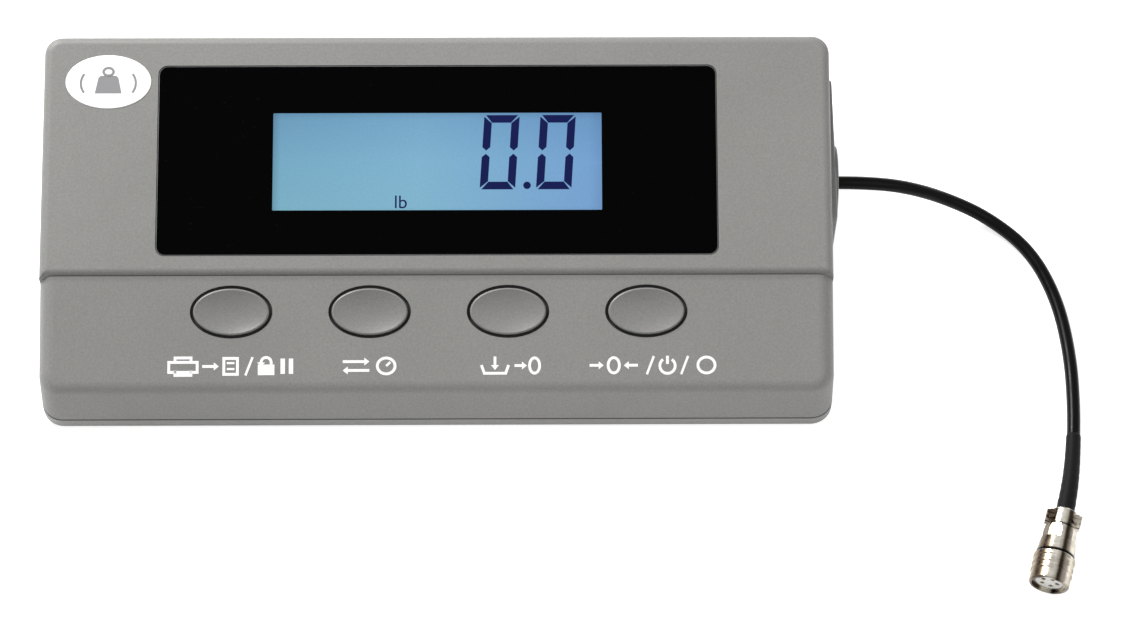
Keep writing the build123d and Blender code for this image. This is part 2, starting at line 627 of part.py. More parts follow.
def plug_backshell():
    """Tapered shell with spanner flats."""
    profile = [(CLAMP_L, 7.0), (SHELL_START, 7.0), (SHELL_START, 10.8), (SHELL_END, 13.2)]
    flat_l = 5.4
    flats = PLUG_AXIS * Pos(0, 0, CLAMP_L) * extrude(RegularPolygon(5.2, 8, major_radius=False), flat_l)
    flats += PLUG_AXIS * Pos(0, 0, CLAMP_L + flat_l) * extrude(Circle(8), SHELL_END)
    shell = turned(profile) & flats
    return shell - PLUG_AXIS * Pos(0, 0, SHELL_END / 2) * Cylinder(2.6, 2 * SHELL_END)


def coupling_nut():
    """Locking ring with a rear bead, two fine ribs and a plain front."""
    plain, rib = NUT_D - 0.6, NUT_D - 0.1
    bead = NUT_START + 1.5
    profile = [(NUT_START, plain), (NUT_START + 0.4, NUT_D), (bead, NUT_D), (bead + 0.3, plain)]
    for s in (NUT_START + 3.4, NUT_START + 5.8):
        profile += [(s - 0.3, plain), (s, rib), (s + 0.7, rib), (s + 1.0, plain)]
    profile += [(NUT_END - 0.5, plain), (NUT_END, plain - 0.8)]
    bore = PLUG_AXIS * Pos(0, 0, NUT_END / 2) * Cylinder(5.65, 2 * NUT_END)
    return turned(profile) - bore


def plug_nose():
    """Plain sleeve that the locking ring turns on."""
    collar_end = NUT_START - 0.05
    sleeve = turned([(SHELL_END, 11.6), (collar_end, 11.6), (collar_end, 11.1), (NUT_END - 0.8, 11.1)])
    return sleeve - PLUG_AXIS * Pos(0, 0, NUT_END / 2 + SHELL_END / 2) * Cylinder(4.8, NUT_END)


CONTACT_SPOTS = [Rot(0, 0, 72 * i) * Pos(2.7, 0, NUT_END - 3.2) for i in range(5)]


def plug_insert():
    """Moulded insert with five wells for the contacts."""
    insert = turned([(NUT_START, 9.5), (NUT_END - 1.2, 9.5)])
    for spot in CONTACT_SPOTS:
        insert -= PLUG_AXIS * spot * Cylinder(0.85, 4.2)
    return insert


def plug_contacts():
    """Socket contacts, set just below the insert's face."""
    return [PLUG_AXIS * spot * (Cylinder(0.8, 3.4) - Cylinder(0.5, 3.5)) for spot in CONTACT_SPOTS]


# ---- write the nodes ----------------------------------------------------------------------------
def build_all():
    save("top_cover", top_cover())
    save("base_shell", base_shell())
    save("feet", feet())
    save("battery_door", battery_door())
    save("case_screws", [screw(UNDER, x, -y, -2.0, 2.1, 5.6, 3.0, 13.0) for x, y in CASE_SCREWS])
    save("bracket_inserts", bracket_inserts())
    label_y = (LABEL_Y - LABEL_H / 2 + 0.1, LABEL_Y + LABEL_H / 2 - 0.1)
    save("rating_label", box(-LABEL_W / 2 + 0.1, LABEL_W / 2 - 0.1, *label_y, FOOT_H + 0.1, FOOT_H + 0.3))
    save("display_lens", display_lens())
    save("lens_mask", lens_mask())
    save("badge", badge())
    glass_end = GLASS_TOP - GLASS_T
    save("lcd_glass", slab(DISPLAY_FACE, LENS_X, LCD_U, GLASS_TOP, glass_end, GLASS_W, GLASS_H))
    light = (glass_end, glass_end - LIGHT_T, GLASS_W - 4, GLASS_H - 8)
    save("backlight", slab(DISPLAY_FACE, LENS_X, LCD_U, *light))
    strips = [LCD_U + side * 20.5 for side in (-1, 1)]
    save("elastomer_strips", [
        slab(DISPLAY_FACE, LENS_X, u, glass_end, DISPLAY_BOARD_TOP, GLASS_W - 4, 2) for u in strips])
    save("lcd_frame", lcd_frame())
    save("display_board", display_board())
    save("display_board_screws", [
        board_screw(DISPLAY_FACE, x, u, DISPLAY_BOARD_TOP, 2.5) for x, u in DISPLAY_BOARD_SCREWS])
    for name, x in KEYS.items():
        save(f"key_{name}", key_cap(x))
        save(f"plunger_{name}", post(KEY_FACE, x, KEY_U, PLUNGER_TOP, PLUNGER_END, 3.4))
    save("key_seals", [key_seal(x) for x in KEYS.values()])
    save("switch_bodies", [switch_body(x) for x in KEYS.values()])
    save("key_board", key_board())
    save("key_board_screws", [board_screw(KEY_FACE, x, u, KEY_BOARD_TOP, 2.0) for x, u in KEY_BOARD_SCREWS])
    save("main_board", main_board())
    save("main_board_screws", [
        screw(Plane.XY, x, y, BOARD_TOP + 1.6, 1.6, 5.0, 2.5, 5.5) for x, y in MAIN_BOARD_SCREWS])
    save("board_chips", board_chips())
    save("board_capacitors", board_capacitors())
    save("buzzer", buzzer())
    save("ribbon_cable", ribbon_cable())
    save("battery_cells", battery_cells())
    save("battery_contacts", battery_contacts())
    save("battery_springs", battery_springs())
    save("dc_jack", dc_jack())
    save("dc_jack_pin", dc_jack_pin())
    save("serial_port", serial_port())
    save("serial_pins", serial_pins())
    save("serial_posts", serial_posts())
    save("side_cover", side_cover())
    save("side_cover_screws", side_cover_screws())
    save("gland_flange", gland_flange())
    save("gland_nut", gland_nut())
    save("inner_lead", inner_lead())
    save("lead_socket", lead_socket())
    tube = cable()
    save("cable", tube)
    save("cable_boot", cable_boot())
    save("plug_clamp", plug_clamp())
    save("plug_clamp_screws", plug_clamp_screws())
    save("plug_backshell", plug_backshell())
    save("coupling_nut", coupling_nut())
    save("plug_nose", plug_nose())
    save("plug_insert", plug_insert())
    save("plug_contacts", plug_contacts())
    print("corner radii", [round(r, 1) for r in CABLE_RADII])
    section = Circle(CABLE_D / 2).area
    print("cable length", round(CABLE_PATH.length, 1), "tube/section x length",
          round(tube.volume / (section * CABLE_PATH.length), 4))


build_all()
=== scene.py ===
from math import cos, pi, radians, sin, tan

import bmesh
import bpy
from mathutils import Matrix, Vector


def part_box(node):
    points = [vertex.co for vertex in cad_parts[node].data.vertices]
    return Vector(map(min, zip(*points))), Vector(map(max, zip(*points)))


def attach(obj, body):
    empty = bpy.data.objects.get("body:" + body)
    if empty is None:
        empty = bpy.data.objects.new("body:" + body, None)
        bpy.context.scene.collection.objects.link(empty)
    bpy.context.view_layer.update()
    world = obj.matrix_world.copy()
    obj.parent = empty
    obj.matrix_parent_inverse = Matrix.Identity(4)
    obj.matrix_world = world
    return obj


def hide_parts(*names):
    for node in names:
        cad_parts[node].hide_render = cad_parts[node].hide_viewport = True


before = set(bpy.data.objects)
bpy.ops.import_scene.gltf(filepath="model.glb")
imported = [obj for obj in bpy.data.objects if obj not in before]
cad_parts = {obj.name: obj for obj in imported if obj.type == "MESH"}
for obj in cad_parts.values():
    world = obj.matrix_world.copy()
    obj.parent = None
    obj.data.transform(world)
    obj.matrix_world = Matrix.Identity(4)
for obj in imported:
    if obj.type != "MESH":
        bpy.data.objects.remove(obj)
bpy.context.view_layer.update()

# ---- places and slopes, in metres and radians ---------------------------------------------------
MM = 0.001
KEY_NAMES = ("print", "unit", "tare", "zero")
KEY_TILT, DISPLAY_TILT = radians(21), radians(15)
LENS_T = 1.3 * MM
# A point of the line where the key face meets the display face.
CREASE = Vector((-1.5, -20.643, 34.149)) * MM


def node(name):
    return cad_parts[name]


def facet(origin, tilt):
    """Matrix of a sloping face: x to the right, y up the slope, z out of the face."""
    x = Vector((1, 0, 0))
    y = Vector((0, cos(tilt), sin(tilt)))
    z = Vector((0, -sin(tilt), cos(tilt)))
    m = Matrix((x, y, z)).transposed().to_4x4()
    return Matrix.Translation(origin) @ m


def middle_of(name):
    """Centre of a CAD node's box."""
    low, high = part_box(name)
    return (low + high) / 2


DISPLAY_UP = Vector((0, -sin(DISPLAY_TILT), cos(DISPLAY_TILT)))
LENS_FACE = facet(middle_of("display_lens") + DISPLAY_UP * LENS_T / 2, DISPLAY_TILT)
KEY_FACE = facet(CREASE, KEY_TILT)


# ---- camera -------------------------------------------------------------------------------------
ELEVATION, YAW, ROLL = radians(63), radians(-1.0), radians(0.73)
CAMERA_DISTANCE = 1.2
CAMERA_TARGET = Vector((0.0412, -0.0347, 0.030))
FOCAL_LENGTH = 113.4


def make_camera():
    """Looks down at the front from the user's side, with the housing left of the middle."""
    data = bpy.data.cameras.new("camera")
    cam = bpy.data.objects.new("camera", data)
    bpy.context.collection.objects.link(cam)
    back = Vector((sin(YAW) * cos(ELEVATION), -cos(YAW) * cos(ELEVATION), sin(ELEVATION)))
    right = Vector((cos(YAW), sin(YAW), 0))
    up = back.cross(right)
    rolled_right = right * cos(ROLL) + up * sin(ROLL)
    rolled_up = -right * sin(ROLL) + up * cos(ROLL)
    turn = Matrix((rolled_right, rolled_up, back)).transposed().to_4x4()
    cam.matrix_world = Matrix.Translation(CAMERA_TARGET + back * CAMERA_DISTANCE) @ turn
    data.sensor_width = 36
    data.lens = FOCAL_LENGTH
    data.clip_start, data.clip_end = 0.05, 20
    bpy.context.scene.camera = cam


make_camera()


# ---- cable --------------------------------------------------------------------------------------
CABLE_D, CABLE_L = 4.6 * MM, 183.5 * MM
PLUG_L = 27.6 * MM
PLUG_YAW = radians(15.4)
PLUG_DIR = Vector((-sin(PLUG_YAW), -cos(PLUG_YAW), 0))
PLUG_SIDE = Vector((cos(PLUG_YAW), -sin(PLUG_YAW), 0))
PLUG_START = Vector((210.1, -97.2, 7.15)) * MM
LAST_RUN = 8.0 * MM
FLANGE_FACE_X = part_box("gland_flange")[1].x
EXIT = Vector((FLANGE_FACE_X, 20.6 * MM, 24.0 * MM))
CABLE_ROUTE = [
    EXIT,
    Vector((146.0, 20.6, 24.0)) * MM,
    Vector((161.0, 21.3, 20.0)) * MM,
    Vector((176.5, 22.0, 10.0)) * MM,
    Vector((191.7, 17.8, 3.5)) * MM,
    Vector((205.7, 5.4, 2.40)) * MM,
    Vector((213.8, -13.6, 2.33)) * MM,
    Vector((216.9, -35.4, 2.36)) * MM,
    Vector((216.7, -56.4, 2.95)) * MM,
    Vector((214.9, -74.4, 4.4)) * MM,
    PLUG_START - PLUG_DIR * LAST_RUN,
    PLUG_START,
]


def new_object(name, data):
    obj = bpy.data.objects.new(name, data)
    bpy.context.collection.objects.link(obj)
    return obj


def make_spline(name, radius, bevel):
    """Smooth curve whose control points are the cable's route; each point carries the radius."""
    curve = bpy.data.curves.new(name, "CURVE")
    curve.dimensions = "3D"
    spline = curve.splines.new("NURBS")
    spline.points.add(len(CABLE_ROUTE) - 1)
    for point, co in zip(spline.points, CABLE_ROUTE):
        point.co = (*co, 1)
        point.radius = radius
    spline.order_u = 3
    spline.use_endpoint_u = True
    spline.resolution_u = 24
    curve.bevel_depth = bevel
    curve.bevel_resolution = 8
    curve.use_fill_caps = bevel > 0
    return new_object(name, curve)


cable = make_spline("cable_jacket", CABLE_D / 2, 1.0)
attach(cable, "root")
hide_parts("cable")


def route_points():
    """Points along the cable's own spline."""
    bare = make_spline("route_probe", CABLE_D / 2, 0.0)
    mesh = bpy.data.meshes.new_from_object(bare)
    points = [v.co.copy() for v in mesh.vertices]
    bpy.data.objects.remove(bare)
    bpy.data.meshes.remove(mesh)
    return points


# ---- mesh helpers -------------------------------------------------------------------------------
def mesh_object(name, verts, faces, smooth=True):
    mesh = bpy.data.meshes.new(name)
    mesh.from_pydata([tuple(v) for v in verts], [], faces)
    mesh.validate()
    for poly in mesh.polygons:
        poly.use_smooth = smooth
    return new_object(name, mesh)


def tube_along(name, points, radius_at, sides=40):
    """Closed tube whose radius is a function of the distance along it."""
    verts, faces = [], []
    normal = Vector((0, 0, 1))
    travelled = 0.0
    for i, p in enumerate(points):
        a, b = points[max(i - 1, 0)], points[min(i + 1, len(points) - 1)]
        tangent = (b - a).normalized()
        side = tangent.cross(normal).normalized()
        up = side.cross(tangent)
        if i:
            travelled += (p - points[i - 1]).length
        for j in range(sides):
            angle = 2 * pi * j / sides
            verts.append(p + (side * cos(angle) + up * sin(angle)) * radius_at(travelled, angle))
    for i in range(len(points) - 1):
        for j in range(sides):
            k = (j + 1) % sides
            faces.append((i * sides + j, i * sides + k, (i + 1) * sides + k, (i + 1) * sides + j))
    faces.append(tuple(reversed(range(sides))))
    faces.append(tuple(range((len(points) - 1) * sides, len(points) * sides)))
    return mesh_object(name, verts, faces)


def plate(name, matrix, outline, thickness, bevel=0.0):
    """Flat plate from a closed outline of (x, y) pairs, standing on a face."""
    bm = bmesh.new()
    low = [bm.verts.new(matrix @ Vector((x, y, 0))) for x, y in outline]
    high = [bm.verts.new(matrix @ Vector((x, y, thickness))) for x, y in outline]
    bm.faces.new(list(reversed(low)))
    top = bm.faces.new(high)
    for i in range(len(outline)):
        j = (i + 1) % len(outline)
        bm.faces.new((low[i], low[j], high[j], high[i]))
    if bevel:
        bmesh.ops.bevel(bm, geom=list(top.edges), offset=bevel, segments=3, profile=0.5, affect="EDGES")
    mesh = bpy.data.meshes.new(name)
    bm.to_mesh(mesh)
    bm.free()
    return new_object(name, mesh)


def joined(name, objects):
    """One object from several meshes."""
    bpy.ops.object.select_all(action="DESELECT")
    for obj in objects:
        obj.select_set(True)
    bpy.context.view_layer.objects.active = objects[0]
    if len(objects) > 1:
        bpy.ops.object.join()
    objects[0].name = name
    return objects[0]


# ---- materials ----------------------------------------------------------------------------------
class Shader:
    """A Principled material with short ways to add nodes and links."""

    def __init__(self, name, color, roughness, metallic=0.0, **inputs):
        self.material = bpy.data.materials.new(name)
        self.material.use_nodes = True
        self.tree = self.material.node_tree
        self.bsdf = self.tree.nodes["Principled BSDF"]
        self.set("Base Color", (*color, 1) if len(color) == 3 else color)
        self.set("Roughness", roughness)
        self.set("Metallic", metallic)
        for key, value in inputs.items():
            self.set(key.replace("_", " "), value)
        self.coords = self.add("ShaderNodeTexCoord")

    def set(self, name, value):
        self.bsdf.inputs[name].default_value = value

    def add(self, kind, **values):
        made = self.tree.nodes.new(kind)
        for key, value in values.items():
            if hasattr(made, key):
                setattr(made, key, value)
            else:
                made.inputs[key].default_value = value
        return made

    def link(self, out, into):
        self.tree.links.new(out, into)

    def noise(self, scale, detail=4.0, roughness=0.55, stretch=(1, 1, 1)):
        """Noise in object space; stretch squeezes it along an axis."""
        mapping = self.add("ShaderNodeMapping")
        mapping.inputs["Scale"].default_value = stretch
        self.link(self.coords.outputs["Object"], mapping.inputs["Vector"])
        tex = self.add("ShaderNodeTexNoise", Scale=scale, Detail=detail, Roughness=roughness)
        self.link(mapping.outputs["Vector"], tex.inputs["Vector"])
        return tex.outputs["Fac"]

    def facing(self, direction, flat, tilted):
        """0 where the true surface faces a direction, 1 where it leans away from it."""
        geometry = self.add("ShaderNodeNewGeometry")
        return self.mapped(self.dot(geometry.outputs["True Normal"], direction), flat, tilted)

    def ramp(self, fac, stops):
        """Colour ramp; a stop is a place with a grey level or a colour."""
        ramp = self.add("ShaderNodeValToRGB")
        self.link(fac, ramp.inputs["Fac"])
        elements = ramp.color_ramp.elements
        while len(elements) < len(stops):
            elements.new(0.5)
        for element, (at, value) in zip(elements, stops):
            element.position = at
            element.color = value if isinstance(value, tuple) else (value, value, value, 1)
        return ramp.outputs["Color"]

    def bump(self, height, strength, distance):
        bump = self.add("ShaderNodeBump", Strength=strength, Distance=distance)
        self.link(height, bump.inputs["Height"])
        self.link(bump.outputs["Normal"], self.bsdf.inputs["Normal"])

    def mapped(self, value, low, high):
        """A value stretched so that low gives 0 and high gives 1."""
        stretch = self.add("ShaderNodeMapRange")
        self.link(value, stretch.inputs["Value"])
        stretch.inputs["From Min"].default_value = low
        stretch.inputs["From Max"].default_value = high
        return stretch.outputs["Result"]

    def dot(self, vector, direction):
        """Length of a vector along a fixed direction."""
        product = self.add("ShaderNodeVectorMath", operation="DOT_PRODUCT")
        self.link(vector, product.inputs[0])
        product.inputs[1].default_value = direction
        return product.outputs["Value"]

    def blend(self, factor, a, b):
        """From colour a at factor 0 to colour b at factor 1."""
        mix = self.add("ShaderNodeMix", data_type="RGBA")
        self.link(factor, mix.inputs["Factor"])
        self.link(a, mix.inputs["A"])
        self.link(b, mix.inputs["B"])
        return mix.outputs["Result"]

    def multiply(self, first, *factors):
        """Colours multiplied together."""
        product = first
        for factor in factors:
            mix = self.add("ShaderNodeMix", data_type="RGBA", blend_type="MULTIPLY")
            mix.inputs["Factor"].default_value = 1.0
            self.link(product, mix.inputs["A"])
            self.link(factor, mix.inputs["B"])
            product = mix.outputs["Result"]
        return product


# Half width of the painted shadow along the crease.
CREASE_BAND = 2.0 * MM


def paint_crease_shadow(s):
    """Painted shade: a soft dark band painted into the colour where the key face meets the display face.
    """
    depth = s.dot(s.coords.outputs["Object"], (0, 1, 0))
    band = s.mapped(depth, CREASE.y - CREASE_BAND, CREASE.y + CREASE_BAND)
    return s.ramp(band, [(0.0, 1.0), (0.36, 0.84), (0.66, 0.80), (1.0, 1.0)])


def moulded_plastic(name, color, roughness=0.5, shade=0.06, painted_shade=None):
    """Spark-eroded ABS: fine grain in the surface, faint blotches in colour and gloss."""
    s = Shader(name, color, roughness, Specular_IOR_Level=0.42)
    broad = s.noise(9, 3)
    speck = s.noise(1500, 2)
    dark = tuple(c * (1 - shade) for c in color) + (1,)
    light = tuple(min(1, c * (1 + shade)) for c in color) + (1,)
    blotches = s.ramp(broad, [(0.3, dark), (0.7, light)])
    colour = s.multiply(blotches, s.ramp(speck, [(0.3, 0.86), (0.7, 1.04)]))
    # Optional painted shade, multiplied into the colour; the top cover gets the painted crease shadow
    # here.
    if painted_shade:
        colour = s.multiply(colour, painted_shade(s))
    s.link(colour, s.bsdf.inputs["Base Color"])
    gloss = s.ramp(s.noise(40, 4), [(0.3, roughness - 0.06), (0.7, roughness + 0.07)])
    s.link(gloss, s.bsdf.inputs["Roughness"])
    s.bump(s.noise(900, 5, 0.6), 0.35, 0.12 * MM)
    return s.material


def polished(name, color, roughness, bump=0.0, scale=300, **inputs):
    """Smooth surface with a slightly uneven gloss."""
    s = Shader(name, color, roughness, **inputs)
    gloss = s.ramp(s.noise(60, 4), [(0.35, roughness * 0.75), (0.7, roughness * 1.35)])
    s.link(gloss, s.bsdf.inputs["Roughness"])
    if bump:
        s.bump(s.noise(scale, 3), bump, 0.05 * MM)
    return s.material


def lens_black():
    """Clear window printed black behind: gloss face, hairlines and dust, a brighter cut edge."""
    black, dust = (0.0006, 0.0006, 0.0007), (0.003, 0.003, 0.003)
    s = Shader("lens_black", black, 0.08)
    face = s.ramp(s.noise(700, 2, 0.5), [(0.70, (*black, 1)), (0.78, (*dust, 1))])
    edge = s.facing(DISPLAY_UP, 0.985, 0.93)
    mix = s.add("ShaderNodeMix", data_type="RGBA")
    s.link(edge, mix.inputs["Factor"])
    s.link(face, mix.inputs["A"])
    mix.inputs["B"].default_value = (0.16, 0.165, 0.17, 1)
    s.link(mix.outputs["Result"], s.bsdf.inputs["Base Color"])
    s.link(s.ramp(edge, [(0.0, 0.022), (1.0, 0.6)]), s.bsdf.inputs["Specular IOR Level"])
    s.link(s.ramp(s.noise(30, 5), [(0.35, 0.05), (0.75, 0.13)]), s.bsdf.inputs["Roughness"])
    s.bump(s.noise(420, 6, 0.7, (0.06, 1, 1)), 0.04, 0.03 * MM)
    return s.material


def nickel(name, tint=(0.56, 0.53, 0.49), roughness=0.24):
    """Plated or plain metal with faint clouds in its colour and gloss."""
    s = Shader(name, tint, roughness, 1.0)
    dull = tuple(c * 0.8 for c in tint)
    s.link(s.ramp(s.noise(220, 5), [(0.3, (*dull, 1)), (0.7, (*tint, 1))]), s.bsdf.inputs["Base Color"])
    gloss = s.ramp(s.noise(500, 4), [(0.3, roughness * 0.7), (0.75, roughness * 1.5)])
    s.link(gloss, s.bsdf.inputs["Roughness"])
    s.bump(s.noise(1200, 3), 0.12, 0.04 * MM)
    return s.material


# Wobble and span of the painted reflection bands across the plug.
REFLECTION_BAND_WOBBLE = 1.0 * MM
REFLECTION_BAND_SPAN = (-5.9 * MM, 6.9 * MM)


def plug_nickel():
    """Nickel plate with painted light: dark and bright bands along the plug are a painted reflection,
    near-black rings at its gaps are painted shade, and it is a little darker at its ends; faint spots
    vary its tone.
    """
    s = Shader("plug_nickel", (0.5, 0.46, 0.4), 0.2, 1.0)
    from_start = s.add("ShaderNodeVectorMath", operation="SUBTRACT")
    s.link(s.coords.outputs["Object"], from_start.inputs[0])
    from_start.inputs[1].default_value = PLUG_START
    wobble = s.add("ShaderNodeMath", operation="MULTIPLY_ADD")
    s.link(s.noise(140, 3), wobble.inputs[0])
    wobble.inputs[1].default_value = REFLECTION_BAND_WOBBLE
    s.link(s.dot(from_start.outputs["Vector"], PLUG_SIDE), wobble.inputs[2])
    # Painted reflection: dark and bright bands across the plug's width stand in for reflections of its
    # surroundings.
    painted_reflection = s.ramp(s.mapped(wobble.outputs[0], *REFLECTION_BAND_SPAN), [
        (0.0, (0.30, 0.24, 0.17, 1)), (0.07, (0.10, 0.075, 0.05, 1)), (0.27, (0.16, 0.12, 0.085, 1)),
        (0.38, (0.78, 0.72, 0.62, 1)), (0.50, (0.88, 0.84, 0.76, 1)), (0.58, (0.60, 0.54, 0.45, 1)),
        (0.64, (0.045, 0.035, 0.025, 1)), (0.70, (0.06, 0.045, 0.03, 1)), (0.79, (0.48, 0.43, 0.36, 1)),
        (0.92, (0.62, 0.57, 0.49, 1)), (1.0, (0.40, 0.34, 0.26, 1))])
    spots = s.ramp(s.noise(420, 4), [(0.35, 0.74), (0.65, 1.05)])
    along = s.mapped(s.dot(from_start.outputs["Vector"], PLUG_DIR), 0, PLUG_L)
    # Painted shade: near-black rings at the two gaps between the plug's parts; slightly darker at both
    # ends.
    painted_gap_shade = s.ramp(along, [
        (0.0, 0.9), (0.19, 1.0), (0.215, 0.05), (0.236, 0.05), (0.25, 1.0), (0.575, 1.0),
        (0.592, 0.04), (0.622, 0.04), (0.634, 1.0), (0.98, 0.9), (1.0, 0.5)])
    s.link(s.multiply(painted_reflection, spots, painted_gap_shade), s.bsdf.inputs["Base Color"])
    s.link(s.ramp(s.noise(500, 4), [(0.3, 0.16), (0.75, 0.34)]), s.bsdf.inputs["Roughness"])
    s.bump(s.noise(900, 3), 0.12, 0.04 * MM)
    return s.material


def cable_black():
    """Dull black cable jacket."""
    s = Shader("cable_pvc", (0.0015, 0.0014, 0.0014), 0.3, Specular_IOR_Level=0.11)
    s.link(s.ramp(s.noise(160, 4), [(0.3, 0.24), (0.75, 0.42)]), s.bsdf.inputs["Roughness"])
    s.bump(s.noise(350, 3), 0.15, 0.08 * MM)
    return s.material


def boot_black():
    """Matt shrink sleeve, a little paler than the cable."""
    s = Shader("boot_sleeve", (0.0045, 0.0042, 0.0042), 0.6, Specular_IOR_Level=0.12)
    s.bump(s.noise(260, 4), 0.3, 0.1 * MM)
    return s.material


def paint(name, material):
    """Give a CAD node one material."""
    obj = node(name)
    obj.data.materials.clear()
    obj.data.materials.append(material)


# The top cover's colour carries a painted shadow along the crease between the key face and the display
# face.
housing = moulded_plastic("housing_abs", (0.192, 0.190, 0.182), 0.48, painted_shade=paint_crease_shadow)
base_grey = moulded_plastic("base_abs", (0.186, 0.185, 0.181), 0.5)
key_grey = moulded_plastic("key_abs", (0.172, 0.170, 0.164), 0.4)
black_plastic = moulded_plastic("black_plastic", (0.02, 0.02, 0.021), 0.5)
white_plastic = moulded_plastic("white_plastic", (0.55, 0.545, 0.52), 0.45, 0.02)
rubber = moulded_plastic("foot_rubber", (0.022, 0.022, 0.022), 0.75)
bright_nickel = nickel("nickel_plate")
# Plug metal with painted reflection bands and painted shade at its gaps.
plug_nickel_painted_light = plug_nickel()
zinc = nickel("zinc_plate", (0.6, 0.6, 0.6), 0.34)
brass = nickel("brass_plain", (0.72, 0.5, 0.22), 0.3)
board_green = polished("solder_mask", (0.01, 0.10, 0.04), 0.25, 0.1)
label_silver = polished("label_silver", (0.62, 0.62, 0.61), 0.35, 0.05, 80)
badge_white = polished("badge_white", (0.86, 0.86, 0.85), 0.16, 0.03, 60, Coat_Weight=0.6)
cell_sleeve = polished("cell_sleeve", (0.06, 0.06, 0.07), 0.3, 0.05)
light_guide = polished("light_guide", (0.5, 0.65, 0.8), 0.3)
lens = lens_black()

NODES_BY_MATERIAL = (
    (housing, ("top_cover",)),
    (base_grey, ("base_shell", "battery_door", "side_cover", "gland_flange")),
    (lens, ("display_lens",)),
    (badge_white, ("badge",)),
    (rubber, ("feet", "key_seals", "elastomer_strips")),
    (label_silver, ("rating_label",)),
    (light_guide, ("lcd_glass", "backlight")),
    (board_green, ("display_board", "key_board", "main_board")),
    (cell_sleeve, ("battery_cells",)),
    (white_plastic, ("ribbon_cable", "lead_socket", "plug_insert")),
    (black_plastic, ("lens_mask", "lcd_frame", "switch_bodies", "board_chips", "buzzer", "dc_jack",
                     "gland_nut", "inner_lead")),
    (zinc, ("case_screws", "side_cover_screws", "display_board_screws", "key_board_screws",
            "main_board_screws", "board_capacitors")),
    (brass, ("bracket_inserts", "serial_pins", "plug_contacts")),
    (bright_nickel, ("battery_contacts", "battery_springs", "dc_jack_pin", "serial_port",
                     "serial_posts")),
    (plug_nickel_painted_light, ("plug_clamp", "plug_clamp_screws", "plug_backshell", "coupling_nut",
                   "plug_nose")),
)
for material, names in NODES_BY_MATERIAL:
    for name in names:
        paint(name, material)
for key in KEY_NAMES:
    paint("key_" + key, key_grey)
    paint("plunger_" + key, white_plastic)
cable.data.materials.append(cable_black())


# ---- shrink sleeve ------------------------------------------------------------------------------
BOOT_L = 31 * MM
BOOT_MOUTH_R, BOOT_SWELL = 2.52 * MM, 0.66 * MM
BOOT_LIP, BOOT_RIPPLE = 0.5 * MM, 0.05 * MM


def make_boot():
    """Sleeve shrunk over the cable's end: thin at its mouth, wider at the clamp, faintly rippled."""
    points = route_points()
    start = len(points) - 1
    covered = 0.0
    while covered < BOOT_L:
        covered += (points[start] - points[start - 1]).length
        start -= 1

    def radius(s, angle):
        t = min(s / BOOT_L, 1)
        body = BOOT_MOUTH_R + BOOT_SWELL * t ** 1.3
        if s < BOOT_LIP:
            body -= (BOOT_LIP - s) * 0.25
        ripple = BOOT_RIPPLE * sin(s / MM * 1.9 + 0.6 * sin(angle * 2))
        return body + ripple * t

    sleeve = tube_along("boot_sleeve", points[start + 1:], radius)
    sleeve.data.materials.append(boot_black())
    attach(sleeve, "root")
    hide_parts("cable_boot")
    return sleeve


boot = make_boot()


# ---- display ------------------------------------------------------------------------------------
LCD_W, LCD_H, LCD_CORNER_R = 112.3 * MM, 34.2 * MM, 0.3 * MM
LCD_FACE = LENS_FACE @ Matrix.Translation((0, -0.6 * MM, 0))
PANEL_T, PANEL_LIFT = 0.05 * MM, 0.01 * MM
INK_T, INK_LIFT = 0.02 * MM, 0.075 * MM
DIGIT_W, DIGIT_H, BAR_T, BAR_GAP = 12.1 * MM, 26.2 * MM, 2.7 * MM, 0.55 * MM
DIGIT_XS, DIGIT_Y = (21.3 * MM, 40.5 * MM), 3.2 * MM
POINT_X, POINT_Y, POINT_R = 30.6 * MM, -8.5 * MM, 1.3 * MM
UNIT_X, UNIT_Y, UNIT_SIZE = -14.8 * MM, -16.4 * MM, 6.5 * MM
SLANT = tan(radians(3.6))


def rounded_outline(width, height, radius, steps=8):
    """Outline of a rounded rectangle, centred."""
    x, y = width / 2 - radius, height / 2 - radius
    points = []
    for cx, cy, start in ((x, y, 0), (-x, y, 90), (-x, -y, 180), (x, -y, 270)):
        for i in range(steps + 1):
            a = radians(start + 90 * i / steps)
            points.append((cx + radius * cos(a), cy + radius * sin(a)))
    return points


def ring(cx, cy, rx, ry, steps=36):
    return [(cx + rx * cos(2 * pi * i / steps), cy + ry * sin(2 * pi * i / steps)) for i in range(steps)]


def seen(red, green, blue):
    """Linear colour of a lit surface, from the 0-255 values it should be seen with."""
    def linear(v):
        v /= 255
        return v / 12.92 if v <= 0.04045 else ((v + 0.055) / 1.055) ** 2.4
    return (linear(red), linear(green), linear(blue), 1)


